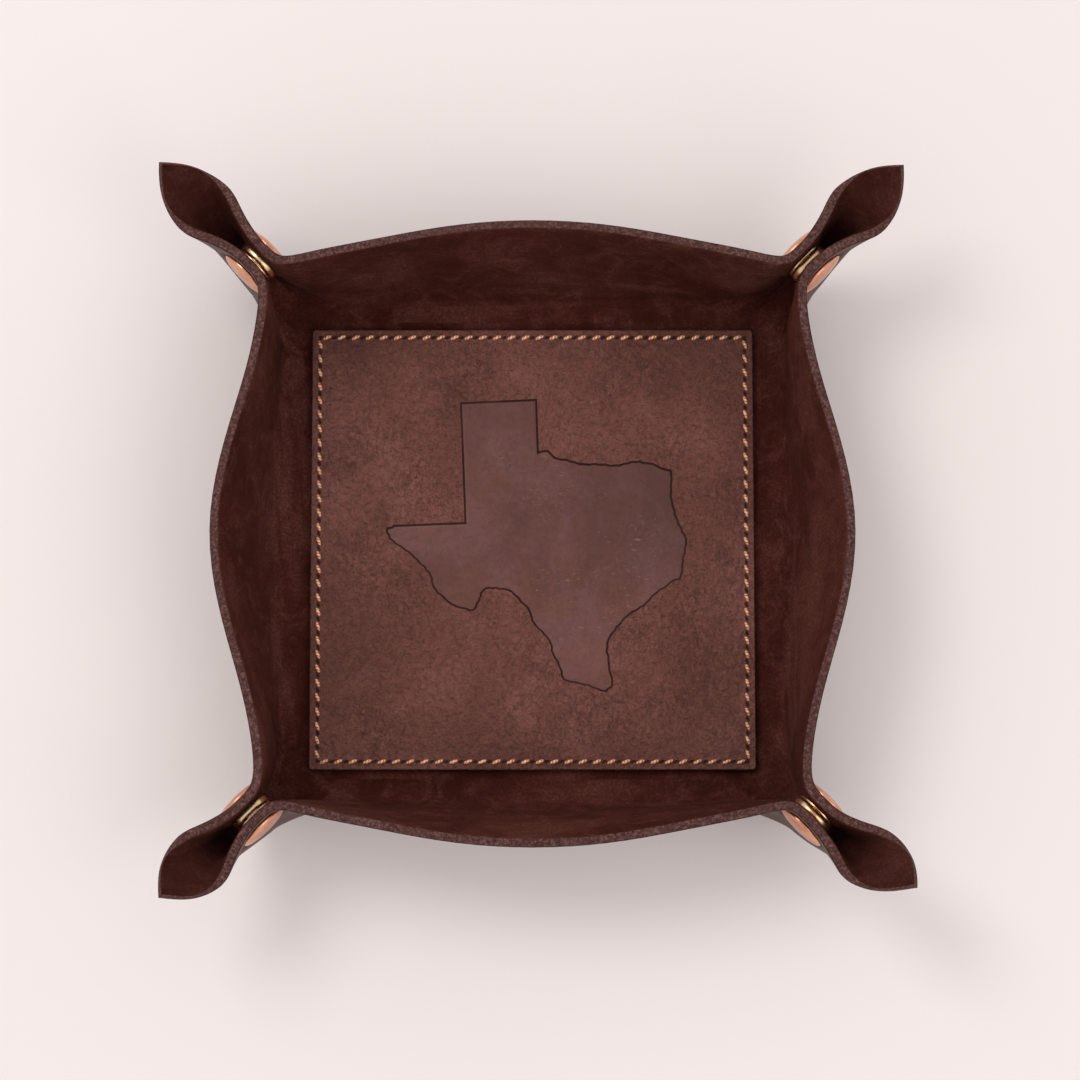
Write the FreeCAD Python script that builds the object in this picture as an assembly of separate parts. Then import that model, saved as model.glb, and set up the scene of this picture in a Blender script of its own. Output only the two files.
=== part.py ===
import FreeCAD, Part
import math
import os

os.makedirs("parts", exist_ok=True)
V = FreeCAD.Vector

# Sewn base panel, and the floor it lies on
panel_half = 63.5
panel_thick = 2.4
panel_corner = 1.6
floor_margin = 2.5
floor_corner_cut = 3.0

# Blank: one sheet, folded up on four sides
leather = 2.8
bend_run = 8.0
rim_height = 43.5
side_lean = 15.0
front_lean = 12.4
end_lean = 0.6
rim_turn = 9.6
side_fullness = 1.0
front_fullness = 0.7
side_swing = 0.0
front_swing = 2.4

# Pinched corner and the ear it leaves outside
pinch_run = 11.0
ear_run = 29.1
ear_swell = 8.0
ear_rise = 6.5
ear_dip = 4.0
tip_leg = 7.0
ridge_run = 12.0
ridge_half = 5.0

# Snap fasteners
snap_drop = 11.0
snap_run = 6.8
cap_radius = 7.5
cap_crown = 1.8
cap_crown_radius = 6.4
post_radius = 1.9
post_clear = 0.3
socket_radius = 6.1
socket_height = 1.9
socket_bore = 3.9
socket_base = 0.6
stud_radius = 5.9
stud_flange = 0.7
stud_knob = 3.0
stud_reach = 1.2
snap_play = 0.4
seat_clear = 0.05
seat_margin = 0.4
seat_sides = 16

# Pressed map figure
map_width = 86.4
map_height = 83.5
map_right = 0.9
map_up = 0.8
map_depth = 0.5

# Hand stitching
stitch_inset = 2.3
stitch_count = 30
stitch_length = 3.1
stitch_width = 0.9
stitch_height = 0.6
stitch_slant = 24.0
groove_width = 2.6
groove_depth = 1.0

# Shares of the way from floor to rim, for the rows of the blank's net
floor_column_shares = (0, 0.28, 0.53, 0.69, 0.76, 0.81, 0.84, 0.875, 0.905, 0.93)
rim_column_shares = (0, 0.34, 0.68, 0.94)
ridge_shares = (0, 0, 0, 0, 0.1, 0.2, 0.3, 0.45, 0.65, 0.85, 1, 1)
low_plan_shares = (0.52, 0.50)
low_rise_shares = (0.20, 0.30)
high_plan_shares = (0.765, 0.77)
high_rise_shares = (0.60, 0.60, 0.60, 0.58, 0.56, 0.54, 0.56, 0.66, 0.80, 0.80, 0.80, 0.80)
pinch_shares = (1, 1, 1, 1, 0.85, 0.66, 0.68, 0.46, 0.30, 0.60, 1, 1)
contour_shares = (0, 0.13, 0.23, 0.33, 0.44, 0.58, 0.78, 1)
station_shares = (0.05, 0.13, 0.20, 0.27, 0.34, 0.41, 0.48, 0.55, 0.62, 0.69, 0.75, 0.81, 0.86, 0.91, 0.96, 1)
ridge_half_shares = (0.6, 0.9, 0.9, 0.6)
ear_run_shares = (0.28, 0.48, 0.73)
ear_swell_shares = (0.30, 0.69, 0.61)
ear_dip_shares = (0.1, 0.8, 0.2)

root = math.sqrt(2)
half = leather / 2
floor_half = panel_half + floor_margin
fold_half = floor_half + bend_run
rim_end = fold_half + end_lean
rim_run = rim_end - rim_turn
gap = socket_height + stud_flange + snap_play
ply = gap / 2 + half
ply_start = root * rim_end - ply
ear_start = ply_start + pinch_run
tip = ear_start + ear_run
rim_top = rim_height
tip_top = rim_top + ear_rise
ridge_start = root * floor_half - floor_corner_cut
snap_out = ply_start + snap_run
snap_up = rim_top - snap_drop
rows = 5
side_wall = (side_lean, side_fullness, side_swing)
front_wall = (front_lean, front_fullness, front_swing)


def mix(first, last, share):
    return first * (1 - share) + last * share


def on_diagonal(out, aside, up):
    return V((out + aside) / root, (out - aside) / root, up)


def rim_points(lean, fullness, end_swing):
    points = []
    for share in rim_column_shares:
        swing = ((1 + math.cos(math.pi * share)) / 2) ** fullness
        out = rim_end + (lean - end_lean) * swing + end_swing * share
        points.append(V(out, rim_run * share, rim_top))
    points.append(on_diagonal(ply_start, ply, rim_top))
    points.append(on_diagonal(ply_start + pinch_run / 2, ply, rim_top))
    points.append(on_diagonal(ear_start, ply, rim_top))
    for run, swell, dip in zip(ear_run_shares, ear_swell_shares, ear_dip_shares):
        aside = ply + ear_swell * swell
        points.append(on_diagonal(ear_start + ear_run * run, aside, rim_top - ear_dip * dip))
    slope = math.atan2(tip_top - mix(half, tip_top, high_rise_shares[-1]),
                       (tip - ridge_start) * (1 - high_plan_shares[1]))
    leg = tip_leg / root
    points.append(on_diagonal(tip - leg * math.cos(slope), leg, tip_top - leg * math.sin(slope)))
    points.append(on_diagonal(tip, 0, tip_top))
    return points


def floor_points():
    points = [V(floor_half, floor_half * share, half) for share in floor_column_shares]
    points.append(on_diagonal(ridge_start, floor_corner_cut * ridge_half_shares[0], half))
    points.append(on_diagonal(ridge_start, 0, half))
    return points


def drawn_in(point, share):
    out = (point.x + point.y) / root
    aside = (point.x - point.y) / root
    return on_diagonal(out, aside * share, point.z)


def half_net(wall):
    # One half of a wall, from its middle to the ridge under the ear
    net = []
    for column, (base, top) in enumerate(zip(floor_points(), rim_points(*wall))):
        share = ridge_shares[column]
        run = V(bend_run * (1 - share) + ridge_run * share / root, ridge_run * share / root, 0)
        low = base + (top - base) * mix(low_plan_shares[0], low_plan_shares[1], share)
        low.z = mix(half, top.z, mix(low_rise_shares[0], low_rise_shares[1], share))
        high = base + (top - base) * mix(high_plan_shares[0], high_plan_shares[1], share)
        high.z = mix(half, top.z, high_rise_shares[column])
        high = drawn_in(high, pinch_shares[column])
        low = drawn_in(low, (1 + pinch_shares[column]) / 2)
        net.append([base, base + run, low, high, top])
    for row, share in enumerate(ridge_half_shares):
        if row:
            on_ridge = net[-1][row]
            aside = ridge_half * share / root
            net[-2][row] = V(on_ridge.x + aside, on_ridge.y - aside, on_ridge.z)
    return net


def whole_net(wall):
    right = half_net(wall)
    left = [[V(p.x, -p.y, p.z) for p in column] for column in right[1:]]
    return left[::-1] + right


def knots(count):
    return [i / (count - 3) for i in range(count - 2)], [4] + [1] * (count - 4) + [4]


def middle_surface(wall):
    net = whole_net(wall)
    along, along_mults = knots(len(net))
    up, up_mults = knots(rows)
    face = Part.BSplineSurface()
    face.buildFromPolesMultsKnots(net, along_mults, up_mults, along, up, False, False, 3, 3)
    return face


def lift(surface, station, rise):
    # Unit direction from the middle of the sheet to its inner face
    if rise == 0:
        return V(0, 0, 1)
    normal = surface.normal(station, rise) * -1
    if station in (0, 1):
        side = 2 * station - 1
        out = (normal.x + side * normal.y) / 2
        normal = V(out, side * out, normal.z).normalize()
    return normal


def wall_grid(wall, distance, quarter):
    surface = middle_surface(wall)
    turn = FreeCAD.Rotation(V(0, 0, 1), 90 * quarter)
    stations = [(1 - share) / 2 for share in station_shares[::-1]]
    stations += [(1 + share) / 2 for share in station_shares]
    grid = []
    for u in stations:
        points = [surface.value(u, v) + lift(surface, u, v) * distance for v in contour_shares]
        grid.append([turn.multVec(point) for point in points])
    return grid


def facets(grid):
    faces = []
    for i, (first, second) in enumerate(zip(grid, grid[1:])):
        for a, b, c, d in zip(first, second, second[1:], first[1:]):
            if 2 * i < len(grid) - 1:
                corners = ((a, b, c), (a, c, d))
            else:
                corners = ((a, b, d), (b, c, d))
            faces += [Part.Face(Part.makePolygon([p, q, r, p])) for p, q, r in corners]
    return faces


def blank():
    faces = []
    floors = [[], []]
    for quarter in range(4):
        wall = front_wall if quarter % 2 else side_wall
        grids = [wall_grid(wall, distance, quarter) for distance in (half, -half)]
        rim = [[inner[-1], outer[-1]] for inner, outer in zip(*grids)]
        for level, grid in enumerate(grids):
            faces += facets(grid)
            floors[level] += [column[0] for column in grid[:-1]]
        faces += facets(rim)
    for points in floors:
        faces.append(Part.Face(Part.makePolygon(points + points[:1])))
    shell = Part.Shell(faces)
    shell.sewShape()
    solid = Part.Solid(shell)
    if solid.Volume < 0:
        solid.reverse()
    return solid


def revolved(points):
    wire = Part.makePolygon([V(r, 0, h) for r, h in points + points[:1]])
    return Part.Face(wire).revolve(V(0, 0, 0), V(0, 0, 1), 360)


def at_snap(shape, quarter, side):
    # Local +Z looks away from the middle of the gap, toward the cap
    across = V(side / root, -side / root, 0)
    along = V(1 / root, 1 / root, 0)
    third = across.cross(along)
    centre = on_diagonal(snap_out, 0, snap_up)
    matrix = FreeCAD.Matrix(along.x, third.x, across.x, centre.x,
                            along.y, third.y, across.y, centre.y,
                            along.z, third.z, across.z, centre.z, 0, 0, 0, 1)
    shape = shape.copy()
    shape.Placement = FreeCAD.Placement(matrix)
    shape.rotate(V(0, 0, 0), V(0, 0, 1), 90 * quarter)
    return shape


seat_in = gap / 2
seat_out = seat_in + leather


def cap(base_height):
    low = seat_out + seat_clear
    end = seat_in - seat_clear - base_height
    return revolved([(0, end), (post_radius, end), (post_radius, low), (cap_radius, low),
                     (cap_crown_radius, low + cap_crown), (0, low + cap_crown)])


def socket():
    top = seat_in - seat_clear
    base = top - socket_base
    low = top - socket_height
    hole = post_radius + seat_clear
    return revolved([(hole, top), (socket_radius, top), (socket_radius, low), (socket_bore, low),
                     (socket_bore, base), (hole, base)])


def stud():
    top = seat_in - seat_clear
    face = top - stud_flange
    reach = face - stud_reach
    hole = post_radius + seat_clear
    return revolved([(hole, top), (stud_radius, top), (stud_radius, face), (stud_knob, face),
                     (stud_knob, reach), (hole, reach)])


def pressed(radius, base, height):
    # Flat-sided round place in the leather, clear of the given radius
    reach = radius / math.cos(math.pi / seat_sides)
    turns = [2 * math.pi * i / seat_sides for i in range(seat_sides + 1)]
    ring = Part.makePolygon([V(reach * math.cos(t), reach * math.sin(t), base) for t in turns])
    return Part.Face(ring).extrude(V(0, 0, height))


def seats(quarter, side):
    hole = pressed(post_radius + post_clear, 0, seat_out + cap_radius)
    under = pressed(socket_radius + seat_margin, 0, seat_in)
    over = pressed(cap_radius + seat_margin, seat_out, cap_radius)
    return [at_snap(shape, quarter, side) for shape in (hole, under, over)]


def map_outline(up):
    def at(share):
        across, high = share
        return V(map_right + map_width * (across - 0.5), map_up + map_height * (high - 0.5), up)

    straight_shares = ((0, 0.565), (0.25, 0.58), (0.255, 0.99), (0.50, 1), (0.51, 0.825))
    river_shares = ((0.51, 0.825), (0.565, 0.805), (0.68, 0.785), (0.80, 0.78), (0.88, 0.785),
                    (0.95, 0.755))
    border_shares = ((0.95, 0.755), (0.955, 0.63), (1, 0.52), (0.98, 0.38))
    coast_shares = ((0.98, 0.38), (0.91, 0.35), (0.80, 0.25), (0.74, 0.16), (0.755, 0.05),
                    (0.73, 0))
    bend_shares = ((0.73, 0), (0.60, 0.045), (0.55, 0.15), (0.455, 0.31), (0.39, 0.35),
                   (0.33, 0.345), (0.30, 0.28), (0.235, 0.285), (0.155, 0.37), (0.09, 0.46),
                   (0.01, 0.53), (0, 0.565))
    points = [at(share) for share in straight_shares]
    for shares in (river_shares, border_shares, coast_shares, bend_shares):
        curve = Part.BSplineCurve()
        curve.interpolate([at(share) for share in shares])
        points += curve.discretize(Number=2 * len(shares) - 1)[1:]
    return Part.makePolygon(points)


def base_panel():
    size = 2 * panel_half
    plate = Part.makeBox(size, size, panel_thick, V(-panel_half, -panel_half, leather))
    uprights = [e for e in plate.Edges if abs(e.Vertexes[0].Z - e.Vertexes[1].Z) > half]
    plate = plate.makeFillet(panel_corner, uprights)
    figure = Part.Face(map_outline(leather + panel_thick - map_depth))
    return plate.cut(figure.extrude(V(0, 0, panel_thick)))


def stitch_row(quarter):
    line = panel_half - stitch_inset
    pitch = 2 * line / stitch_count
    end = stitch_length / 2
    side = stitch_width / 2
    solids = []
    for level, way in ((leather + panel_thick, 1), (groove_depth, -1)):
        points = [V(-end, -side, 0), V(end, -side, 0), V(0, -side, way * stitch_height), V(-end, -side, 0)]
        bar = Part.Face(Part.makePolygon(points)).extrude(V(0, stitch_width, 0))
        for i in range(stitch_count):
            one = bar.copy()
            one.rotate(V(0, 0, 0), V(0, 0, 1), stitch_slant * way)
            one.translate(V(-line + pitch * (i + 0.5), line, level))
            one.rotate(V(0, 0, 0), V(0, 0, 1), 90 * quarter)
            solids.append(one)
    return Part.makeCompound(solids)


def grooves():
    line = panel_half - stitch_inset
    tools = []
    for quarter in range(4):
        length = 2 * line + groove_width
        box = Part.makeBox(length, groove_width, groove_depth,
                           V(-length / 2, line - groove_width / 2, 0))
        box.rotate(V(0, 0, 0), V(0, 0, 1), 90 * quarter)
        tools.append(box)
    return tools


def keep(shape, name):
    shape.exportStep("parts/" + name + ".step")


tools = grooves()
for quarter in range(4):
    tools += seats(quarter, 1) + seats(quarter, -1)
keep(blank().cut(tools), "tray_body")
keep(base_panel(), "base_panel")
for quarter, name in enumerate(("back", "left", "front", "right")):
    keep(stitch_row(quarter), "stitches_" + name)
for quarter, name in enumerate(("back_right", "back_left", "front_left", "front_right")):
    keep(at_snap(cap(socket_base), quarter, 1), "socket_cap_" + name)
    keep(at_snap(socket(), quarter, 1), "socket_" + name)
    keep(at_snap(stud(), quarter, -1), "stud_" + name)
    keep(at_snap(cap(stud_flange), quarter, -1), "stud_cap_" + name)
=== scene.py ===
import math

import bmesh
import bpy
import numpy as np
from mathutils import Matrix, Vector


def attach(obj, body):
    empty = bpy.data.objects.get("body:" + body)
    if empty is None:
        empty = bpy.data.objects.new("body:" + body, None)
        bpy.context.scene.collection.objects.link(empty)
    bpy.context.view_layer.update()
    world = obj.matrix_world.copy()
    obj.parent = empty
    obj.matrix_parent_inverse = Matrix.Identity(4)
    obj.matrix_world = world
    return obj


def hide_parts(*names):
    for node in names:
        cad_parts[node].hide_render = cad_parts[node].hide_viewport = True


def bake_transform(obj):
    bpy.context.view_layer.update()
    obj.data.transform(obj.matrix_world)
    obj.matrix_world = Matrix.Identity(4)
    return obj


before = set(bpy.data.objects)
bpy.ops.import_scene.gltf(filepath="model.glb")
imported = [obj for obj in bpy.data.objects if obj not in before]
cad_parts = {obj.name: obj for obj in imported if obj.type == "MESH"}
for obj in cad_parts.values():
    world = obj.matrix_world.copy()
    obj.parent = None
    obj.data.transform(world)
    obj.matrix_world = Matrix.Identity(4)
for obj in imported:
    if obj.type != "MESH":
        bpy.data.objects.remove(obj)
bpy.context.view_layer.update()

MM = 0.001
ROOT = math.sqrt(2)

# Sizes in millimetres
PANEL_HALF, PANEL_THICK = 63.5, 2.4
PANEL_CORNER, PANEL_ROUND = 1.0, 0.45
LEATHER = 2.8
HALF = LEATHER / 2
RIM_ROUND = 0.55
FLAT_HALF, FLAT_SHOULDER = 120.0, 56.0
FLOOR_HALF = 66.0
CORNER_CUT = 3.0
BEND_RUN = 8.0
RIM = 43.5
RIM_END = 74.6
RIM_TURN = 9.6
RIM_RUN = RIM_END - RIM_TURN
END_LEAN = 0.6
SIDE_WALL = (15.0, 1.0, 0.0)
FRONT_WALL = (12.4, 0.7, 2.4)
PLY = 2.9
PLY_START = ROOT * RIM_END - PLY
PINCH = 11.0
EAR_START = PLY_START + PINCH
EAR_RUN, EAR_SWELL, EAR_RISE, EAR_DIP = 29.1, 8.0, 6.5, 4.0
TIP = EAR_START + EAR_RUN
TIP_TOP = RIM + EAR_RISE
TIP_LEG = 7.0
RIDGE_START = ROOT * FLOOR_HALF - CORNER_CUT
RIDGE_RUN, RIDGE_HALF = 12.0, 5.0
SNAP_OUT, SNAP_UP = PLY_START + 6.8, RIM - 11.0
SEAT_IN = 1.5
SEAT_OUT = SEAT_IN + LEATHER
SEAT_REACH_IN, SEAT_REACH_OUT, SEAT_FADE = 6.5, 7.8, 2.0
CAP_RADIUS, CAP_DOME, POST_RADIUS, POST_REACH = 7.5, 1.55, 1.9, 0.65
SOCKET_RADIUS, SOCKET_BORE = 6.1, 3.9
STUD_RADIUS, STUD_HEAD = 5.9, 3.0
SNAP_HEIGHT, SNAP_EASE = 1.9, 0.05
STITCH_LINE = PANEL_HALF - 2.3
STITCH_COUNT = 30
STITCH_PITCH = 2 * STITCH_LINE / STITCH_COUNT
STITCH_SLANT = math.radians(24)
STITCH_HALF_LENGTH, STITCH_HALF_WIDTH, STITCH_HALF_HEIGHT = 1.35, 0.5, 0.45
STITCH_LIFT, STITCH_DIP, STITCH_STRAY = 0.34, 0.6, 0.06
STITCH_TWIST = 0.045
SLIT_HALF_LENGTH, SLIT_HALF_WIDTH = 0.8, 0.42
GROOVE_WIDTH, GROOVE_DEPTH = 2.6, 1.0

# Shares that shape the folded sheet, from the middle of a wall to the ridge under an ear
FLOOR_SHARES = (0, 0.28, 0.53, 0.69, 0.76, 0.81, 0.84, 0.875, 0.905, 0.93)
RIM_SHARES = (0, 0.34, 0.68, 0.94)
RIDGE_SHARES = (0, 0, 0, 0.05, 0.3, 0.45, 0.55, 0.67, 0.8, 0.92, 1, 1)
LOW_RUN, LOW_RISE, HIGH_RUN = (0.22, 0.35), (0.20, 0.30), (0.60, 0.70)
HIGH_RISE_SHARES = (0.60, 0.60, 0.60, 0.58, 0.56, 0.54, 0.56, 0.66, 0.80, 0.80, 0.80, 0.80)
PINCH_SHARES = (1, 1, 1, 1, 0.85, 0.56, 0.50, 0.40, 0.30, 0.62, 1, 1)
RIDGE_HALF_SHARES = (0.6, 0.9, 0.9, 0.6)
TIP_SLOPE_SHARE = 0.23
EAR_SHARES = ((0.28, 0.30, 0.1), (0.48, 0.69, 0.8), (0.73, 0.61, 0.2))

# How far the tip of each ear strays, out and aside, in millimetres
EAR_SWAY = {(1, 1): (1.2, 1.1), (-1, 1): (2.2, 1.0), (-1, -1): (-0.6, 0.0), (1, -1): (-0.4, 4.0)}

# Where the sheet is parted so that a wall can lean out, and how finely it is laid
FOLD_UP = 0.17
WALL_END = 0.74
SLIVER = 0.002
COLUMNS, FOOT_ROWS, WALL_STEPS = 120, 6, 44

WALLS = (("right", SIDE_WALL), ("back", FRONT_WALL), ("left", SIDE_WALL), ("front", FRONT_WALL))
CORNERS = ("back_right", "back_left", "front_left", "front_right")


# Finishes


def linear(red, green, blue):
    return tuple(((c / 255 + 0.055) / 1.055) ** 2.4 for c in (red, green, blue)) + (1.0,)


class Finish:
    def __init__(self, name):
        self.material = bpy.data.materials.new(name)
        self.material.use_nodes = True
        self.nodes = self.material.node_tree.nodes
        self.links = self.material.node_tree.links
        self.shader = self.nodes["Principled BSDF"]

    def put(self, socket, value):
        if isinstance(value, bpy.types.NodeSocket):
            self.links.new(value, socket)
        elif value is not None:
            socket.default_value = value

    def add(self, kind, out=0, inputs=None, **settings):
        node = self.nodes.new(kind)
        for key, value in settings.items():
            setattr(node, key, value)
        for key, value in (inputs or {}).items():
            self.put(node.inputs[key], value)
        return node.outputs[out]

    def maths(self, operation, first, second=None):
        return self.add("ShaderNodeMath", operation=operation, inputs={0: first, 1: second})

    def axes(self, where):
        node = self.nodes.new("ShaderNodeSeparateXYZ")
        self.links.new(where, node.inputs[0])
        return node.outputs["X"], node.outputs["Y"]

    def turned(self, where, scale, angles):
        return self.add("ShaderNodeMapping",
                        inputs={"Vector": where, "Scale": scale, "Rotation": angles})

    def noise(self, where, scale, detail=3.0, rough=0.55, twist=0.0):
        return self.add("ShaderNodeTexNoise", out="Fac",
                        inputs={"Vector": where, "Scale": scale, "Detail": detail,
                                "Roughness": rough, "Distortion": twist})

    def span(self, value, low, high, to_low=0.0, to_high=1.0):
        return self.add("ShaderNodeMapRange", interpolation_type="SMOOTHSTEP",
                        inputs={"Value": value, "From Min": low, "From Max": high,
                                "To Min": to_low, "To Max": to_high})

    def ramp(self, value, *stops):
        node = self.nodes.new("ShaderNodeValToRGB")
        self.links.new(value, node.inputs["Fac"])
        while len(node.color_ramp.elements) < len(stops):
            node.color_ramp.elements.new(0.5)
        for element, (place, colour) in zip(node.color_ramp.elements, stops):
            element.position = place
            element.color = colour
        return node.outputs["Color"]

    def blend(self, share, first, second):
        node = self.nodes.new("ShaderNodeMix")
        node.data_type = "RGBA"
        self.put(node.inputs["Factor"], share)
        self.put(node.inputs["A"], first)
        self.put(node.inputs["B"], second)
        return node.outputs["Result"]

    def bump(self, height, strength, distance, under=None):
        return self.add("ShaderNodeBump", inputs={"Height": height, "Strength": strength,
                                                  "Distance": distance, "Normal": under})

    def set(self, **values):
        for key, value in values.items():
            self.put(self.shader.inputs[key.replace("_", " ")], value)
        return self.material


def suede_finish():
    f = Finish("suede")
    flat = f.add("ShaderNodeUVMap", uv_map="flat")
    where = f.add("ShaderNodeTexCoord", out="Object")
    cloud = f.noise(flat, 30.0, 5.0, 0.62, 0.6)
    brushed_nap_and_sheen = f.noise(where, 120.0, 5.0, 0.72, 0.9)
    nap = f.noise(where, 1400.0, 3.0, 0.6)
    tone = f.ramp(cloud, (0.34, linear(56, 20, 14)), (0.5, linear(78, 35, 27)),
                  (0.66, linear(108, 62, 54)))
    # The brushed nap's paler streaks are partly the nap's own tone and partly painted sheen
    tone = f.blend(f.span(brushed_nap_and_sheen, 0.47, 0.68, 0.0, 0.5), tone, linear(112, 67, 58))
    tone = f.blend(f.span(brushed_nap_and_sheen, 0.3, 0.48, 0.5, 0.0), tone, linear(50, 17, 12))
    tone = f.blend(f.span(nap, 0.38, 0.72, 0.55, 0.0), tone, linear(46, 15, 10))
    # Painted shade: the ears, in the tray's corners, are painted darker
    x, y = f.axes(flat)
    corner = f.maths("MINIMUM", f.maths("ABSOLUTE", x), f.maths("ABSOLUTE", y))
    tone = f.blend(f.span(corner, 0.07, 0.094, 0.0, 0.5), tone, linear(40, 13, 9))
    normal = f.bump(nap, 0.7, 0.0005, f.bump(cloud, 0.25, 0.0012))
    return f.set(Base_Color=tone, Roughness=0.95, Normal=normal, Sheen_Weight=0.08,
                 Sheen_Roughness=0.5, Sheen_Tint=linear(170, 96, 76), Specular_IOR_Level=0.1)


def grain_finish():
    f = Finish("outer_grain")
    flat = f.add("ShaderNodeUVMap", uv_map="flat")
    where = f.add("ShaderNodeTexCoord", out="Object")
    cloud = f.noise(flat, 30.0, 4.0, 0.6, 0.3)
    pebble = f.noise(where, 640.0, 4.0, 0.66, 0.8)
    crease = f.noise(where, 210.0, 5.0, 0.7, 1.2)
    pores_and_glints = f.noise(where, 1500.0, 3.0, 0.7)
    tone = f.ramp(cloud, (0.3, linear(70, 38, 31)), (0.55, linear(86, 51, 43)),
                  (0.75, linear(104, 66, 57)))
    tone = f.blend(f.span(pebble, 0.3, 0.58, 0.45, 0.0), tone, linear(52, 27, 21))
    # Painted glints: the palest specks are painted highlights
    tone = f.blend(f.span(pores_and_glints, 0.6, 0.76, 0.0, 0.35), tone, linear(132, 92, 80))
    normal = f.bump(pebble, 0.5, 0.0006, f.bump(crease, 0.3, 0.0006))
    return f.set(Base_Color=tone, Roughness=f.span(cloud, 0.3, 0.7, 0.42, 0.58), Normal=normal,
                 Specular_IOR_Level=0.4)


def cut_edge_finish():
    f = Finish("cut_edge")
    where = f.add("ShaderNodeTexCoord", out="Object")
    across = f.maths("ABSOLUTE", f.add("ShaderNodeAttribute", out="Fac", attribute_name="across"))
    fibre = f.noise(where, 1300.0, 3.0, 0.7)
    cloud = f.noise(where, 120.0, 3.0)
    tone = f.ramp(fibre, (0.3, linear(46, 22, 20)), (0.5, linear(80, 50, 47)),
                  (0.72, linear(126, 92, 87)))
    tone = f.blend(f.span(cloud, 0.4, 0.7, 0.0, 0.4), tone, linear(74, 45, 42))
    tone = f.blend(f.span(across, 0.62, 0.98, 0.0, 0.85), tone, linear(44, 20, 15))
    normal = f.bump(fibre, 0.7, 0.0005)
    return f.set(Base_Color=tone, Roughness=0.86, Normal=normal, Specular_IOR_Level=0.2)


def panel_nodes(f):
    where = f.add("ShaderNodeTexCoord", out="Object")
    pores_and_glints = f.noise(where, 1500.0, 4.0, 0.7)
    cloud = f.noise(where, 24.0, 5.0, 0.62, 0.5)
    crease = f.noise(f.turned(where, (1.0, 0.4, 1.0), (0, 0, 0.2)), 480.0, 5.0, 0.7, 0.8)
    near = f.maths("ABSOLUTE", f.maths("SUBTRACT", crease, 0.5))
    patch = f.span(f.noise(where, 55.0, 3.0), 0.42, 0.66)
    line = f.maths("MULTIPLY", f.span(near, 0.0, 0.045, 1.0, 0.0), patch)
    pebble = f.noise(where, 640.0, 4.0, 0.66, 0.8)
    return where, pores_and_glints, pebble, cloud, line


def awl_holes(f, where):
    # Slanted slits between the stitches, in millimetres from the nearest one
    x, y = f.axes(where)
    steps, edges = [], []
    for along in (x, y):
        turns = f.maths("DIVIDE", f.maths("ADD", along, STITCH_LINE * MM), STITCH_PITCH * MM)
        near = f.maths("SUBTRACT", f.maths("FRACT", f.maths("ADD", turns, 0.5)), 0.5)
        line = f.maths("MULTIPLY", f.maths("SIGN", along), STITCH_LINE * MM)
        steps.append(f.maths("MULTIPLY", near, STITCH_PITCH))
        edges.append(f.maths("DIVIDE", f.maths("SUBTRACT", along, line), MM))
    upright = f.maths("GREATER_THAN", f.maths("ABSOLUTE", x), f.maths("ABSOLUTE", y))
    level = f.maths("SUBTRACT", 1.0, upright)
    run = f.maths("ADD", f.maths("MULTIPLY", steps[0], level), f.maths("MULTIPLY", steps[1], upright))
    rise = f.maths("SUBTRACT", f.maths("MULTIPLY", edges[1], level),
                   f.maths("MULTIPLY", edges[0], upright))
    c, s = math.cos(STITCH_SLANT), math.sin(STITCH_SLANT)
    long_way = f.maths("ADD", f.maths("MULTIPLY", run, c), f.maths("MULTIPLY", rise, s))
    short_way = f.maths("SUBTRACT", f.maths("MULTIPLY", rise, c), f.maths("MULTIPLY", run, s))
    reach = f.maths("ADD", f.maths("POWER", f.maths("DIVIDE", long_way, SLIT_HALF_LENGTH), 2.0),
                    f.maths("POWER", f.maths("DIVIDE", short_way, SLIT_HALF_WIDTH), 2.0))
    return f.span(reach, 0.3, 1.6, 1.0, 0.0)


def panel_finish():
    f = Finish("panel_grain")
    where, pores_and_glints, pebble, cloud, line = panel_nodes(f)
    tone = f.ramp(cloud, (0.28, linear(104, 60, 50)), (0.5, linear(129, 79, 69)),
                  (0.72, linear(150, 96, 87)))
    tone = f.blend(f.span(pebble, 0.3, 0.58, 0.5, 0.0), tone, linear(70, 38, 29))
    tone = f.blend(f.span(pores_and_glints, 0.3, 0.56, 0.45, 0.0), tone, linear(68, 36, 27))
    # Painted glints: the palest specks are painted highlights
    tone = f.blend(f.span(pores_and_glints, 0.6, 0.76, 0.0, 0.45), tone, linear(156, 114, 98))
    # Painted shade darkens the creases
    tone = f.blend(f.maths("MULTIPLY", line, 0.2), tone, linear(60, 30, 23))
    hole = awl_holes(f, where)
    # Painted shade: the awl holes are painted dark inside
    tone = f.blend(f.maths("MULTIPLY", hole, 0.9), tone, linear(36, 11, 6))
    normal = f.bump(pebble, 0.9, 0.0012, f.bump(cloud, 0.3, 0.002))
    normal = f.bump(line, 0.6, -0.0004, f.bump(pores_and_glints, 0.9, 0.0006, normal))
    normal = f.bump(hole, 0.8, -0.0006, normal)
    return f.set(Base_Color=tone, Roughness=f.span(pores_and_glints, 0.35, 0.7, 0.56, 0.4), Normal=normal,
                 Specular_IOR_Level=0.3)


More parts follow.
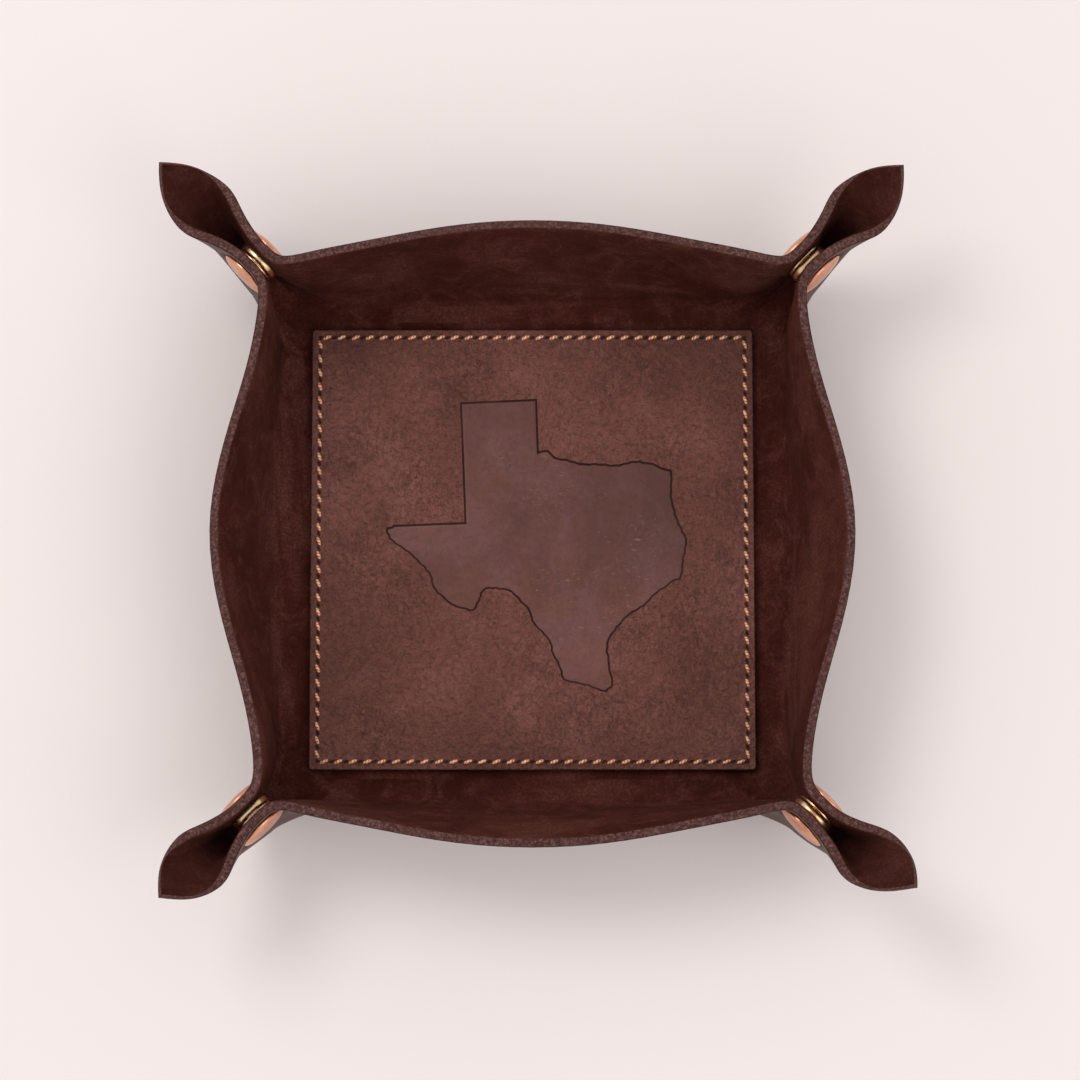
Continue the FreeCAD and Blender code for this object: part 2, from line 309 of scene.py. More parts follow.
def figure_finish():
    f = Finish("pressed_figure")
    where, pores_and_glints, pebble, cloud, line = panel_nodes(f)
    lilac_sheen = f.noise(where, 46.0, 5.0, 0.66, 1.2)
    tone = f.ramp(cloud, (0.28, linear(82, 48, 41)), (0.5, linear(104, 63, 56)),
                  (0.72, linear(122, 79, 73)))
    # Painted sheen: lilac patches on the smooth pressed figure
    tone = f.blend(f.span(lilac_sheen, 0.44, 0.66, 0.0, 0.6), tone, linear(112, 76, 79))
    # Painted shade: darker towards the back right
    far = f.maths("ADD", *f.axes(where))
    tone = f.blend(f.maths("MULTIPLY", f.span(far, 0.012, 0.055), 0.45), tone, linear(78, 47, 41))
    tone = f.blend(f.span(pebble, 0.32, 0.6, 0.28, 0.0), tone, linear(66, 38, 33))
    # Painted shade darkens the creases
    tone = f.blend(f.maths("MULTIPLY", line, 0.25), tone, linear(66, 37, 31))
    # Fine scratches where things are dropped in
    drag = f.turned(where, (0.3, 1.0, 1.0), (0, 0, 0.12))
    scratch = f.maths("MULTIPLY", f.span(f.noise(drag, 1500.0, 3.0, 0.6, 0.5), 0.6, 0.72),
                      f.span(f.noise(where, 52.0, 3.0), 0.5, 0.66))
    # Painted glints: specks painted pale as highlights, beside the real scratches
    glint = f.maths("MULTIPLY", f.span(pores_and_glints, 0.6, 0.72),
                    f.span(f.noise(where, 90.0, 3.0), 0.56, 0.7))
    scratch_and_glint = f.maths("MULTIPLY", f.maths("MAXIMUM", scratch, glint), 0.42)
    tone = f.blend(scratch_and_glint, tone, linear(166, 126, 112))
    normal = f.bump(pebble, 0.22, 0.0005, f.bump(cloud, 0.3, 0.002))
    return f.set(Base_Color=tone, Roughness=f.span(lilac_sheen, 0.3, 0.7, 0.36, 0.54), Normal=normal,
                 Specular_IOR_Level=0.22)


# Painted shade: the groove pressed round the figure is painted dark
def figure_groove_shade_finish():
    f = Finish("figure_groove_shade")
    where = f.add("ShaderNodeTexCoord", out="Object")
    fine = f.noise(where, 800.0, 3.0)
    cloud = f.noise(where, 70.0, 3.0)
    tone = f.ramp(fine, (0.3, linear(34, 11, 7)), (0.7, linear(54, 23, 17)))
    tone = f.blend(f.span(cloud, 0.46, 0.7, 0.0, 0.5), tone, linear(74, 42, 35))
    return f.set(Base_Color=tone, Roughness=0.7, Normal=f.bump(fine, 0.3, 0.0002),
                 Specular_IOR_Level=0.2)


def thread_finish():
    f = Finish("waxed_thread")
    lay = f.add("ShaderNodeUVMap", uv_map="lay")
    around, along = f.axes(lay)
    turn = f.maths("ADD", f.maths("MULTIPLY", around, 2.0), f.maths("MULTIPLY", along, 2.5))
    strand = f.maths("ABSOLUTE", f.maths("SINE", f.maths("MULTIPLY", turn, math.pi)))
    where = f.add("ShaderNodeTexCoord", out="Object")
    highlight_specks = f.noise(where, 1800.0, 2.0)
    # Painted light: the ramp paints shade between the strands and highlights on their crowns
    tone = f.ramp(strand, (0.0, linear(132, 50, 22)), (0.3, linear(216, 124, 74)),
                  (1.0, linear(255, 196, 154)))
    # Painted highlights: pale specks on the thread
    tone = f.blend(f.span(highlight_specks, 0.5, 0.7, 0.0, 0.6), tone, linear(255, 226, 206))
    return f.set(Base_Color=tone, Roughness=0.22, Normal=f.bump(strand, 0.5, 0.0003),
                 Specular_IOR_Level=0.8)


def metal_finish(name, bright, deep, rough):
    f = Finish(name)
    where = f.add("ShaderNodeTexCoord", out="Object")
    cloud = f.noise(where, 160.0, 4.0, 0.6)
    scuff = f.noise(f.turned(where, (1.0, 9.0, 1.0), (0.3, 0.5, 0.7)), 700.0, 3.0, 0.6)
    tone = f.blend(f.span(cloud, 0.35, 0.7), bright, deep)
    return f.set(Base_Color=tone, Metallic=1.0, Normal=f.bump(scuff, 0.06, 0.0001),
                 Roughness=f.span(scuff, 0.3, 0.75, rough, rough + 0.14))


SUEDE = suede_finish()
GRAIN = grain_finish()
CUT_EDGE = cut_edge_finish()
PANEL = panel_finish()
FIGURE = figure_finish()
FIGURE_GROOVE_SHADE = figure_groove_shade_finish()
THREAD = thread_finish()
COPPER = metal_finish("cap_copper", linear(226, 164, 134), linear(200, 130, 100), 0.2)
BRASS = metal_finish("snap_brass", linear(252, 220, 178), linear(228, 172, 122), 0.24)


def piece(bm, name, finishes):
    mesh = bpy.data.meshes.new(name)
    bm.to_mesh(mesh)
    bm.free()
    for finish in finishes:
        mesh.materials.append(finish)
    thing = bpy.data.objects.new(name, mesh)
    bpy.context.scene.collection.objects.link(thing)
    return thing


# The folded sheet


def on_diagonal(out, aside, up):
    return np.array([(out + aside) / ROOT, (out - aside) / ROOT, up])


def mix(first, last, share):
    return first * (1 - share) + last * share


def rim_line(lean, fullness, swing):
    line = []
    for share in RIM_SHARES:
        bow = ((1 + math.cos(math.pi * share)) / 2) ** fullness
        out = RIM_END + (lean - END_LEAN) * bow + swing * share
        line.append(np.array([out, RIM_RUN * share, RIM]))
    line += [on_diagonal(PLY_START + run, PLY, RIM) for run in (0, PINCH / 2, PINCH)]
    for run, swell, dip in EAR_SHARES:
        line.append(on_diagonal(EAR_START + EAR_RUN * run, PLY + EAR_SWELL * swell,
                                RIM - EAR_DIP * dip))
    rise = TIP_TOP - mix(HALF, TIP_TOP, HIGH_RISE_SHARES[-1])
    slope = math.atan2(rise, (TIP - RIDGE_START) * TIP_SLOPE_SHARE)
    leg = TIP_LEG / ROOT
    line.append(on_diagonal(TIP - leg * math.cos(slope), leg, TIP_TOP - leg * math.sin(slope)))
    line.append(on_diagonal(TIP, 0, TIP_TOP))
    return line


def floor_line():
    line = [np.array([FLOOR_HALF, FLOOR_HALF * share, HALF]) for share in FLOOR_SHARES]
    return line + [on_diagonal(RIDGE_START, CORNER_CUT * RIDGE_HALF_SHARES[0], HALF),
                   on_diagonal(RIDGE_START, 0, HALF)]


def drawn_in(point, share):
    out, aside = (point[0] + point[1]) / ROOT, (point[0] - point[1]) / ROOT
    return on_diagonal(out, aside * share, point[2])


def wall_net(wall):
    net = []
    for column, (base, top) in enumerate(zip(floor_line(), rim_line(*wall))):
        share, pinch = RIDGE_SHARES[column], PINCH_SHARES[column]
        run = base + (BEND_RUN * (1 - share) + RIDGE_RUN * share / ROOT, RIDGE_RUN * share / ROOT, 0)
        low = run + (top - run) * mix(*LOW_RUN, share)
        low[2] = mix(HALF, top[2], mix(*LOW_RISE, share))
        high = run + (top - run) * mix(*HIGH_RUN, share)
        high[2] = mix(HALF, top[2], HIGH_RISE_SHARES[column])
        net.append([base, run, drawn_in(low, (1 + pinch) / 2), drawn_in(high, pinch), top])
    for row in (1, 2, 3):
        aside = RIDGE_HALF * RIDGE_HALF_SHARES[row] / ROOT
        net[-2][row] = net[-1][row] + np.array([aside, -aside, 0])
    net = np.array(net)
    return np.concatenate([(net * (1, -1, 1))[:0:-1], net])


def weights(count, at):
    knots = np.concatenate([np.zeros(3), np.linspace(0, 1, count - 2), np.ones(3)])
    at = np.clip(at, 0, 1 - 1e-9)
    table = [((knots[i] <= at) & (at < knots[i + 1])).astype(float) for i in range(count + 3)]
    for degree in (1, 2, 3):
        lower = table
        table = []
        for i in range(count + 3 - degree):
            rise, fall = knots[i + degree] - knots[i], knots[i + degree + 1] - knots[i + 1]
            up = (at - knots[i]) / rise * lower[i] if rise > 0 else 0 * at
            down = (knots[i + degree + 1] - at) / fall * lower[i + 1] if fall > 0 else 0 * at
            table.append(up + down)
    return np.stack(table, axis=1)


def flat_place(along, up):
    # Where a point of a wall lies on the flat blank
    floor = np.interp(along, (0, 0.15, 0.5, 0.85, 1),
                      (-FLOOR_HALF, -FLAT_SHOULDER, 0, FLAT_SHOULDER, FLOOR_HALF))
    rim = np.interp(along, (0, 1), (-FLAT_HALF, FLAT_HALF))
    return np.stack([mix(FLOOR_HALF, FLAT_HALF, up), mix(floor, rim, up), 0 * up], axis=1)


def sheet_at(wall, along, up):
    # Middle of the sheet and the unit direction to its inner face
    net = wall_net(wall)
    step = 1e-4

    def surface(a, u):
        return np.einsum("ni,nj,ijk->nk", weights(len(net), a), weights(5, u), net)

    def pull(a, u, da, du):
        ahead = surface(np.clip(a + da, 0, 1), np.clip(u + du, 0, 1))
        behind = surface(np.clip(a - da, 0, 1), np.clip(u - du, 0, 1))
        return ahead - behind

    lift = np.cross(pull(along, up, 0, step), pull(along, up, step, 0))
    for end, side in ((along < 1e-6, -1), (along > 1 - 1e-6, 1)):
        out = (lift[:, 0] + side * lift[:, 1]) / 2
        lift[end] = np.stack([out, side * out, lift[:, 2]], axis=1)[end]
    lift[up < 1e-6] = (0, 0, 1)
    lift /= np.linalg.norm(lift, axis=1)[:, None]
    return surface(along, up), lift


def seated(points, seat, reach):
    # Press the sheet flat where a snap half clamps it
    out = (points[:, 0] + np.abs(points[:, 1])) / ROOT
    aside = (points[:, 0] - np.abs(points[:, 1])) / ROOT
    far = np.hypot(out - SNAP_OUT, points[:, 2] - SNAP_UP)
    hold = np.clip((reach + SEAT_FADE - far) / SEAT_FADE, 0, 1)
    hold = hold * hold * (3 - 2 * hold)
    aside += (seat - aside) * hold
    back = np.sign(points[:, 1])
    return np.stack([(out + aside) / ROOT, back * (out - aside) / ROOT, points[:, 2]], axis=1)


def turned(points, quarter):
    c, s = ((1, 0), (0, 1), (-1, 0), (0, -1))[quarter]
    return points @ np.array([[c, s, 0], [-s, c, 0], [0, 0, 1]])


def swayed(points):
    # Each hand-bent ear points a little its own way
    signs = np.sign(points[:, :2])
    flat = np.abs(points[:, :2]).sum(axis=1) / ROOT
    weight = np.clip((flat - EAR_START) / EAR_RUN, 0, 1) ** 1.3
    for (right, back), (out, aside) in EAR_SWAY.items():
        here = weight * (signs[:, 0] == right) * (signs[:, 1] == back)
        drift = (right * (out + aside) / ROOT, back * (out - aside) / ROOT, 0)
        points = points + np.outer(here, drift)
    return points


def wall_points(wall, quarter, along, up):
    middle, lift = sheet_at(wall, along, up)
    inner = seated(middle + lift * HALF, SEAT_IN, SEAT_REACH_IN)
    outer = seated(middle - lift * HALF, SEAT_OUT, SEAT_REACH_OUT)
    flat = flat_place(along, up)
    return [swayed(turned(inner, quarter)), swayed(turned(outer, quarter)), turned(flat, quarter)]


def spaced(at, count):
    # A narrow row beside each parting keeps the shading unbroken across it
    return np.interp(at * count, (0, 1, count - 1, count), (0, SLIVER, 1 - SLIVER, 1))


class Sheet:
    def __init__(self):
        self.bm = bmesh.new()
        self.outer = self.bm.verts.layers.float_vector.new("outer")
        self.flat = self.bm.verts.layers.float_vector.new("flat_at")
        self.up = self.bm.verts.layers.float.new("up")
        self.across = self.bm.verts.layers.float.new("across")
        self.uv = self.bm.loops.layers.uv.new("flat")

    def lay(self, columns, rows, place):
        made = bmesh.ops.create_grid(self.bm, x_segments=columns, y_segments=rows, size=0.5)["verts"]
        at = np.array([v.co[:2] for v in made]) + 0.5
        inner, outer, flat, up = place(at[:, 0], at[:, 1])
        for vert, a, b, f, u in zip(made, inner, outer, flat, up):
            vert.co = a * MM
            vert[self.outer] = Vector(b * MM)
            vert[self.flat] = Vector(f * MM)
            vert[self.up] = u
            vert[self.across] = 1.0

    def lay_wall(self, wall, quarter, columns, rows, along, up):
        def place(s, t):
            a = mix(along[0], along[1], spaced(s, columns))
            rise = spaced(t, rows)
            if up[1] == 1:
                rise = np.interp(t * rows, (0, 1, rows), (0, SLIVER, 1))
            u = mix(up[0], up[1], rise)
            return wall_points(wall, quarter, a, u) + [u]

        self.lay(columns, rows, place)

    def close(self):
        bm = self.bm
        bmesh.ops.remove_doubles(bm, verts=bm.verts[:], dist=1e-6)
        made = bmesh.ops.extrude_face_region(bm, geom=bm.faces[:], use_keep_orig=True)["geom"]
        for vert in made:
            if isinstance(vert, bmesh.types.BMVert):
                vert.co = vert[self.outer]
                vert[self.across] = -1.0
        bmesh.ops.recalc_face_normals(bm, faces=bm.faces[:])
        for face in bm.faces:
            sides = {round(v[self.across]) for v in face.verts}
            face.material_index = {(1,): 0, (-1,): 1}.get(tuple(sides), 2)
            face.smooth = True
            for loop in face.loops:
                loop[self.uv].uv = loop.vert[self.flat].xy
        rim = []
        for edge in bm.edges:
            kinds = {face.material_index for face in edge.link_faces}
            if 2 in kinds and len(kinds) == 2:
                if all(v[self.up] > 0.9999 for v in edge.verts):
                    rim.append(edge)
                else:
                    edge.smooth = False
            elif kinds == {2} and edge.calc_face_angle(0) > 1.0:
                edge.smooth = False
        if rim:
            bmesh.ops.bevel(bm, geom=rim, offset=RIM_ROUND * MM, segments=3, profile=0.5,
                            affect="EDGES", material=-1)
        return bm


def floor_place(s, t):
    # The flat floor, its four sides on the walls' lowest line
    def side(at):
        return sheet_at(SIDE_WALL, at, 0 * at)[0][:, :2]

    s, t = spaced(s, COLUMNS), spaced(t, COLUMNS)
    right, corner = side(t), side(np.array([1.0]))[0]
    back = side(1 - s)[:, ::-1] * (-1, 1)
    front = side(s)[:, ::-1] * (1, -1)
    left = side(1 - t) * (-1, -1)
    s1, t1 = s[:, None], t[:, None]
    ruled = (1 - s1) * left + s1 * right + (1 - t1) * front + t1 * back
    ruled -= np.stack([corner[0] * (2 * s - 1), corner[1] * (2 * t - 1)], axis=1)
    inner = np.column_stack([ruled, np.full(len(s), LEATHER)])
    return inner, inner * (1, 1, 0), inner * (1, 1, 0), 0 * s


def faces_under(bm):
    bm.normal_update()
    return [face for face in bm.faces if face.normal.z < -0.9999]


def cut_channel(bm):
    # The thread runs in a channel in the underside, clear of the table
    half = GROOVE_WIDTH / 2
    lines = [side * STITCH_LINE + edge for side in (-1, 1) for edge in (-half, half)]
    for way in (Vector((1, 0, 0)), Vector((0, 1, 0))):
        for place in lines:
            under = faces_under(bm)
            edges = list(dict.fromkeys(e for f in under for e in f.edges))
            verts = list(dict.fromkeys(v for f in under for v in f.verts))
            bmesh.ops.bisect_plane(bm, geom=verts + edges + under, dist=1e-7,
                                   plane_co=way * place * MM, plane_no=way)
    cut = []
    for face in faces_under(bm):
        x, y = face.calc_center_median().xy / MM
        if abs(max(abs(x), abs(y)) - STITCH_LINE) < half:
            cut.append(face)
    made = bmesh.ops.extrude_face_region(bm, geom=cut)["geom"]
    raised = [v for v in made if isinstance(v, bmesh.types.BMVert)]
    bmesh.ops.translate(bm, verts=raised, vec=(0, 0, GROOVE_DEPTH * MM))
    bmesh.ops.delete(bm, geom=[f for f in cut if f.is_valid], context="FACES")
    for vert in raised:
        for face in vert.link_faces:
            face.material_index = 2
        for edge in vert.link_edges:
            edge.smooth = edge.calc_face_angle(0) < 0.5
    for edge in bm.edges:
        if edge.calc_face_angle(0) > 1.4 and {f.material_index for f in edge.link_faces} == {1, 2}:
            edge.smooth = False
    return bm


def leather(bm, name):
    return piece(bm, name, (SUEDE, GRAIN, CUT_EDGE))


def leather_pieces():
    base = Sheet()
    base.lay(COLUMNS, COLUMNS, floor_place)
    for quarter, (_, wall) in enumerate(WALLS):
        base.lay_wall(wall, quarter, COLUMNS, FOOT_ROWS, (0, 1), (0, FOLD_UP))
    floor = leather(cut_channel(base.close()), "sheet_floor")
    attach(floor, "tray")
    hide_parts("tray_body")
    for quarter, (name, wall) in enumerate(WALLS):
        middle = Sheet()
        middle.lay_wall(wall, quarter, WALL_STEPS, WALL_STEPS, (1 - WALL_END, WALL_END), (FOLD_UP, 1))
        thing = leather(middle.close(), "sheet_wall_" + name)
        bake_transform(thing)
        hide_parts("tray_body")
        for which, side, span in (("first", -1, (0, 1 - WALL_END)), ("last", 1, (WALL_END, 1))):
            half = Sheet()
            half.lay_wall(wall, quarter, WALL_STEPS, WALL_STEPS, span, (FOLD_UP, 1))
            thing = leather(half.close(), "sheet_ear_" + name + "_" + which)
            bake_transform(thing)
            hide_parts("tray_body")


leather_pieces()


# The sewn panel and its pressed figure

FIGURE_LINE = (
    (-20.9, 42.3), (1.3, 43.3), (1.8, 28.0), (4.7, 28.3), (7.2, 26.1), (10.9, 25.4), (14.6, 24.6),
    (19.3, 24.4), (23.6, 24.2), (27.3, 24.8), (31.0, 25.4), (33.5, 24.8), (36.6, 23.6), (39.9, 22.8),
    (40.0, 18.4), (40.3, 13.4), (41.0, 9.7), (42.8, 5.9), (44.2, 2.8), (43.8, -1.6), (43.1, -5.3),
    (42.3, -9.2), (39.7, -10.0), (36.6, -12.2), (33.5, -15.3), (31.0, -17.2), (27.3, -19.7),
    (24.2, -22.8), (22.1, -26.0), (21.4, -29.7), (22.1, -33.5), (22.9, -37.2), (22.7, -40.0),
    (21.1, -41.4), (18.6, -40.7), (14.3, -39.4), (8.7, -37.9), (7.4, -34.1), (5.6, -30.4),
    (5.1, -27.8), (2.5, -24.1), (-0.3, -21.0), (-1.7, -17.2), (-4.3, -14.4), (-7.4, -12.2),
    (-10.5, -11.7), (-13.3, -11.9), (-14.5, -13.1), (-15.0, -15.3), (-16.1, -17.5), (-18.0, -18.3),
    (-20.4, -17.5), (-24.2, -15.7), (-27.3, -13.1), (-28.8, -10.3), (-29.4, -8.1), (-31.0, -5.6),
    (-34.1, -2.8), (-37.8, 0.3), (-41.2, 2.8), (-42.1, 4.7), (-41.8, 5.9), (-39.7, 6.7),
    (-19.5, 7.5), (-20.1, 23.4))

# The finishes of the panel, and the width, rise and finish of each ring inside the figure's border
GROUND, PRESSED, LINE, CUT = range(4)
# The LINE rings carry the groove's painted shade
FIGURE_RINGS = ((0.3, -0.45, LINE), (0.3, -0.05, LINE), (0.5, 0.2, PRESSED))
WAVER = 0.26


def wavered(line):
    # The short runs of the border waver a little, the long straight ones don't
    made = []
    for number, (a, b) in enumerate(zip(line, line[1:] + line[:1])):
        a, b = Vector(a), Vector(b)
        made.append(a)
        way = b - a
        if 2.0 < way.length < 6.5:
            for share in (0.34, 0.67):
                drift = WAVER * math.sin(9.1 * number + 23.0 * share)
                made.append(a + way * share + Vector((-way.y, way.x)).normalized() * drift)
    return made


def panel_piece():
    bm = bmesh.new()
    top = (LEATHER + PANEL_THICK) * MM
    half = PANEL_HALF * MM
    corners = [bm.verts.new((x * half, y * half, top)) for x, y in ((-1, -1), (1, -1), (1, 1), (-1, 1))]
    bm.faces.new(corners)
    bmesh.ops.bevel(bm, geom=corners, offset=PANEL_CORNER * MM, segments=5, profile=0.5,
                    affect="VERTICES", material=-1)
    bmesh.ops.delete(bm, geom=bm.faces[:], context="FACES_ONLY")
    border = bm.edges[:]
    ring = [bm.verts.new((x * MM, y * MM, top)) for x, y in wavered(FIGURE_LINE)]
    outline = [bm.edges.new(pair) for pair in zip(ring, ring[1:] + ring[:1])]
    bmesh.ops.triangle_fill(bm, edges=border + outline, use_beauty=True)
    figure = bmesh.ops.contextual_create(bm, geom=outline)["faces"]
    figure[0].normal_update()
    if figure[0].normal.z < 0:
        figure[0].normal_flip()
    for width, depth, finish in FIGURE_RINGS:
        made = bmesh.ops.inset_region(bm, faces=figure, thickness=width * MM, depth=depth * MM,
                                      use_even_offset=True, use_boundary=True)
        for face in made["faces"]:
            face.material_index = finish
    figure[0].material_index = PRESSED
    # Sides and underside
    outer = [edge for edge in bm.edges if len(edge.link_faces) == 1]
    made = bmesh.ops.extrude_edge_only(bm, edges=outer)["geom"]
    lower = [v for v in made if isinstance(v, bmesh.types.BMVert)]
    bmesh.ops.translate(bm, verts=lower, vec=(0, 0, -PANEL_THICK * MM))
    bmesh.ops.contextual_create(bm, geom=[e for e in made if isinstance(e, bmesh.types.BMEdge)])
    bmesh.ops.recalc_face_normals(bm, faces=bm.faces[:])
    for face in bm.faces:
        upright = abs(face.normal.z) < 0.3 and face.calc_center_median().z < top - 0.4 * MM
        if upright and face.material_index == GROUND:
            face.material_index = CUT
    brink = []
    for edge in bm.edges:
        kinds = {face.material_index for face in edge.link_faces}
        if kinds == {GROUND, CUT} and all(abs(v.co.z - top) < 1e-6 for v in edge.verts):
            brink.append(edge)
    bmesh.ops.bevel(bm, geom=brink, offset=PANEL_ROUND * MM, segments=3, profile=0.5, affect="EDGES",
                    material=-1)
    # The cut edge finish reads this, and here it is nought all over
    bm.verts.layers.float.new("across")
    for face in bm.faces:
        face.smooth = face.normal.z < 0.999
    thing = piece(bm, "sewn_panel", (PANEL, FIGURE, FIGURE_GROOVE_SHADE, CUT_EDGE))
    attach(thing, "tray")
    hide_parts("base_panel")


panel_piece()


# Hand stitching


def one_stitch():
    bm = bmesh.new()
    lay = bm.loops.layers.uv.new("lay")
    bmesh.ops.create_uvsphere(bm, u_segments=8, v_segments=7, radius=1.0,
                              matrix=Matrix.Rotation(math.pi / 2, 4, "Y"))
    for vert in bm.verts:
        # Fuller than a ball towards its ends, which dip into the leather
        x, y, z = vert.co
        full = (1 - x * x) ** 0.32 / max((1 - x * x) ** 0.5, 1e-6) if abs(x) < 0.999 else 1.0
        height = z * full * STITCH_HALF_HEIGHT + STITCH_LIFT - STITCH_DIP * x ** 2
        vert.co = (x * STITCH_HALF_LENGTH * MM, y * full * STITCH_HALF_WIDTH * MM, height * MM)
    for face in bm.faces:
        face.smooth = True
        for loop in face.loops:
            x, y, z = loop.vert.co / MM
            loop[lay].uv = (math.atan2(z, y) / (2 * math.pi), x / (2 * STITCH_HALF_LENGTH))
    mesh = bpy.data.meshes.new("stitch")
    bm.to_mesh(mesh)
    bm.free()
    return mesh


def stitch_pieces():
    stitch = one_stitch()
    for quarter, name in enumerate(("back", "left", "front", "right")):
        bm = bmesh.new()
        for number in range(STITCH_COUNT):
            # Each stitch strays a little, as by hand
            sway = math.sin(7.3 * number + 2.1 * quarter)
            along = -STITCH_LINE + STITCH_PITCH * (number + 0.5) + STITCH_STRAY * sway
            slant = STITCH_SLANT + STITCH_TWIST * sway
            for level, flip in ((LEATHER + PANEL_THICK, 0), (GROOVE_DEPTH, math.pi)):
                start = len(bm.verts)
                bm.from_mesh(stitch)
                bm.verts.ensure_lookup_table()
                place = (Matrix.Rotation(quarter * math.pi / 2, 4, "Z")
                         @ Matrix.Translation((along * MM, STITCH_LINE * MM, level * MM))
                         @ Matrix.Rotation(flip, 4, "X") @ Matrix.Rotation(slant, 4, "Z"))
                bmesh.ops.transform(bm, matrix=place, verts=bm.verts[start:])
        thing = piece(bm, "thread_" + name, (THREAD,))
        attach(thing, "tray")
        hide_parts("stitches_" + name)
    bpy.data.meshes.remove(stitch)


stitch_pieces()


# Snaps


def turned_part(profile):
    bm = bmesh.new()
    line = [bm.verts.new((radius * MM, 0, height * MM)) for radius, height in profile]
    edges = [bm.edges.new(pair) for pair in zip(line, line[1:])]
    bmesh.ops.spin(bm, geom=line + edges, cent=(0, 0, 0), axis=(0, 0, 1), angle=2 * math.pi, steps=48,
                   use_merge=True)
    bmesh.ops.remove_doubles(bm, verts=bm.verts[:], dist=1e-6)
    bmesh.ops.recalc_face_normals(bm, faces=bm.faces[:])
    for face in bm.faces:
        face.smooth = True
    for edge in bm.edges:
        edge.smooth = edge.calc_face_angle(0) < 0.7
    return bm


def snap_place(quarter, side):
    across = Vector((side / ROOT, -side / ROOT, 0))
    along = Vector((1 / ROOT, 1 / ROOT, 0))
    third = across.cross(along)
    centre = Vector(on_diagonal(SNAP_OUT, 0, SNAP_UP)) * MM
    frame_in = Matrix((along, third, across)).transposed().to_4x4()
    return Matrix.Rotation(quarter * math.pi / 2, 4, "Z") @ Matrix.Translation(centre) @ frame_in


def snap_piece(profile, node, finish, body, quarter, side):
    bm = turned_part(profile)
    bmesh.ops.transform(bm, matrix=snap_place(quarter, side), verts=bm.verts[:])
    thing = piece(bm, node + "_turned", (finish,))
    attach(thing, body)
    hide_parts(node)


def cap_profile():
    low = SEAT_OUT + SNAP_EASE
    post = SEAT_IN - POST_REACH
    dome = [(CAP_RADIUS * math.sin(t), low + 0.55 + CAP_DOME * math.cos(t))
            for t in np.linspace(0, 1.45, 12)]
    return dome + [(CAP_RADIUS, low + 0.5), (CAP_RADIUS - 0.02, low + 0.25),
                   (CAP_RADIUS - 0.25, low + 0.05), (CAP_RADIUS - 0.6, low), (POST_RADIUS, low),
                   (POST_RADIUS, post), (0, post)]


def socket_profile():
    top = SEAT_IN - SNAP_EASE
    foot = top - SNAP_HEIGHT
    hole = POST_RADIUS + SNAP_EASE
    return [(hole, top), (SOCKET_RADIUS - 0.6, top), (SOCKET_RADIUS - 0.2, top - 0.12),
            (SOCKET_RADIUS, top - 0.45), (SOCKET_RADIUS, foot + 0.5),
            (SOCKET_RADIUS - 0.2, foot + 0.15), (SOCKET_RADIUS - 0.7, foot),
            (SOCKET_BORE + 0.6, foot), (SOCKET_BORE + 0.15, foot + 0.15),
            (SOCKET_BORE, foot + 0.5), (SOCKET_BORE, top - 0.6), (hole, top - 0.6), (hole, top)]


def stud_profile():
    top = SEAT_IN - SNAP_EASE
    foot = top - SNAP_HEIGHT
    hole = POST_RADIUS + SNAP_EASE
    return [(hole, top), (STUD_RADIUS - 0.3, top), (STUD_RADIUS, top - 0.2),
            (STUD_RADIUS, top - 0.5), (STUD_RADIUS - 0.2, top - 0.7), (STUD_HEAD + 0.2, top - 0.7),
            (STUD_HEAD - 0.15, top - 0.95), (STUD_HEAD - 0.15, top - 1.2),
            (STUD_HEAD, foot + 0.45), (STUD_HEAD - 0.05, foot + 0.15),
            (STUD_HEAD - 0.4, foot), (hole, foot), (hole, top)]


def snap_pieces():
    cap, socket, stud = cap_profile(), socket_profile(), stud_profile()
    owners = (("right", "back"), ("back", "left"), ("left", "front"), ("front", "right"))
    for quarter, (corner, (first, second)) in enumerate(zip(CORNERS, owners)):
        for side, wall, parts in ((1, first, (("socket_cap_", "cap_metal", cap, COPPER),
                                              ("socket_", "snap_metal", socket, BRASS))),
                                  (-1, second, (("stud_", "snap_metal", stud, BRASS),
                                                ("stud_cap_", "cap_metal", cap, COPPER)))):
            for prefix, slot, profile, finish in parts:
                snap_piece(profile, prefix + corner, finish, wall + "_wall_snaps", quarter, side)


snap_pieces()


# Floor, light and camera

# Name, place, size and power of each lamp
LAMPS = (("key", (-0.8, 0.65, 1.45), 0.8, 8.5), ("fill", (0.8, -0.6, 1.1), 1.0, 3.5))

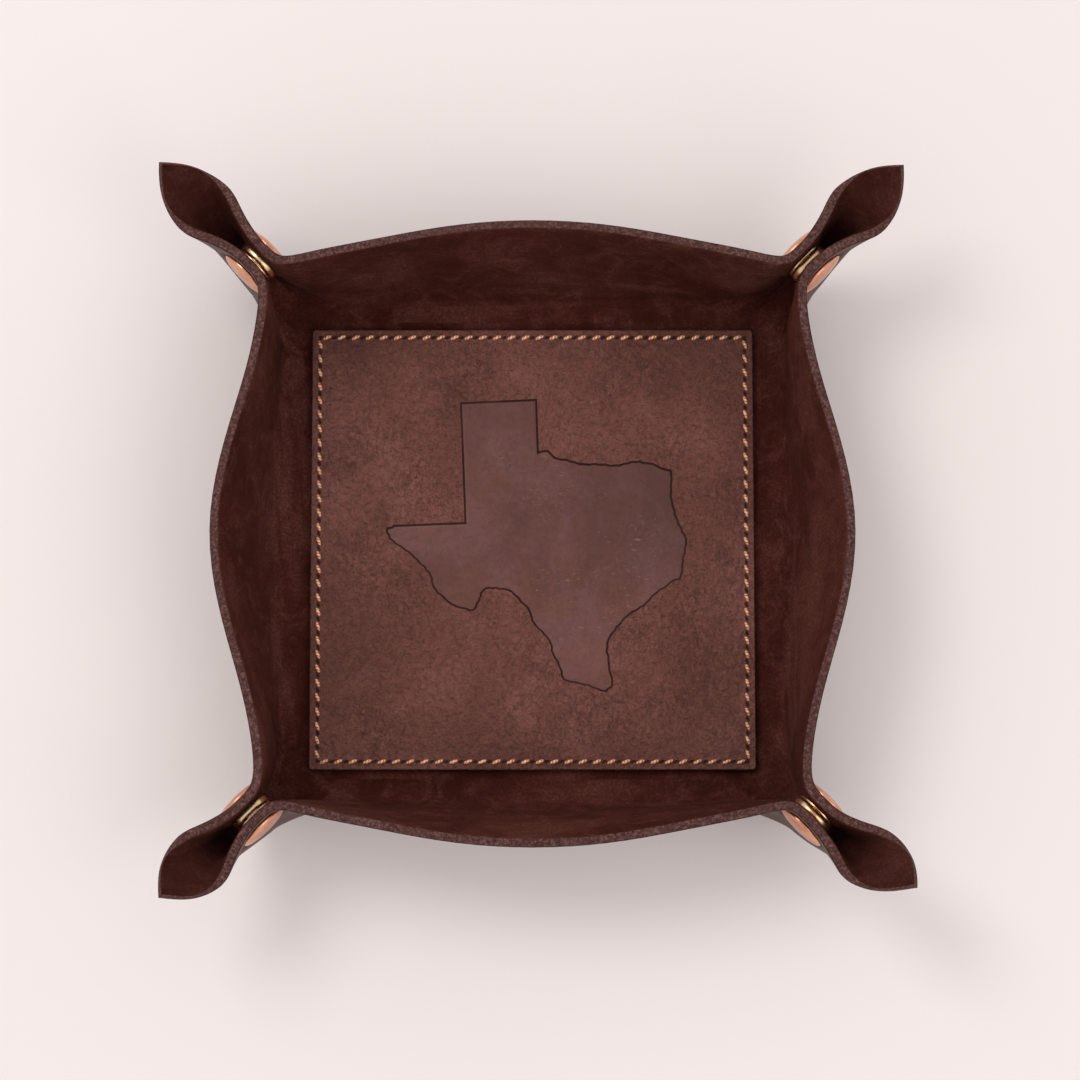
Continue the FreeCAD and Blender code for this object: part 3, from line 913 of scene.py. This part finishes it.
# The camera in degrees, metres and pixels of the photograph, and its sensor in millimetres
CAMERA_TILT, CAMERA_AWAY, CAMERA_AIM = 82.5, 0.99, 0.0052
FRAME_PIXELS, FOCUS_PIXELS, SHIFT_PIXELS = 1080.0, 3461.0, (7.5, 8.0)
SENSOR = 36.0


def studio():
    bm = bmesh.new()
    bmesh.ops.create_grid(bm, x_segments=8, y_segments=8, size=3.0)
    mesh = bpy.data.meshes.new("table")
    bm.to_mesh(mesh)
    bm.free()
    f = Finish("table_paint")
    where = f.add("ShaderNodeTexCoord", out="Object")
    cloud = f.noise(where, 3.0, 2.0)
    tone = f.blend(cloud, linear(237, 227, 226), linear(241, 232, 231))
    mesh.materials.append(f.set(Base_Color=tone, Roughness=0.7, Specular_IOR_Level=0.2))
    table = bpy.data.objects.new("table", mesh)
    bpy.context.scene.collection.objects.link(table)

    world = bpy.data.worlds.new("studio")
    world.use_nodes = True
    background = world.node_tree.nodes["Background"]
    background.inputs["Color"].default_value = (1.0, 0.985, 0.975, 1)
    background.inputs["Strength"].default_value = 0.78
    bpy.context.scene.world = world

    for name, place, size, power in LAMPS:
        lamp = bpy.data.lights.new(name, "AREA")
        lamp.shape = "DISK"
        lamp.size = size
        lamp.energy = power
        lamp.color = (1.0, 0.975, 0.955)
        holder = bpy.data.objects.new(name, lamp)
        holder.location = place
        holder.rotation_euler = (-Vector(place)).to_track_quat("-Z", "Y").to_euler()
        bpy.context.scene.collection.objects.link(holder)


def camera():
    tilt = math.radians(CAMERA_TILT)
    data = bpy.data.cameras.new("view")
    data.sensor_width = SENSOR
    data.sensor_fit = "HORIZONTAL"
    data.lens = SENSOR * FOCUS_PIXELS / FRAME_PIXELS
    data.shift_x = SHIFT_PIXELS[0] / FRAME_PIXELS
    data.shift_y = SHIFT_PIXELS[1] / FRAME_PIXELS
    data.clip_start = 0.01
    data.clip_end = 20.0
    holder = bpy.data.objects.new("view", data)
    holder.location = (0.0, -CAMERA_AWAY * math.cos(tilt), CAMERA_AIM + CAMERA_AWAY * math.sin(tilt))
    holder.rotation_euler = (math.pi / 2 - tilt, 0.0, 0.0)
    bpy.context.scene.collection.objects.link(holder)
    bpy.context.scene.camera = holder


studio()
camera()
bpy.context.scene.view_settings.view_transform = "Standard"
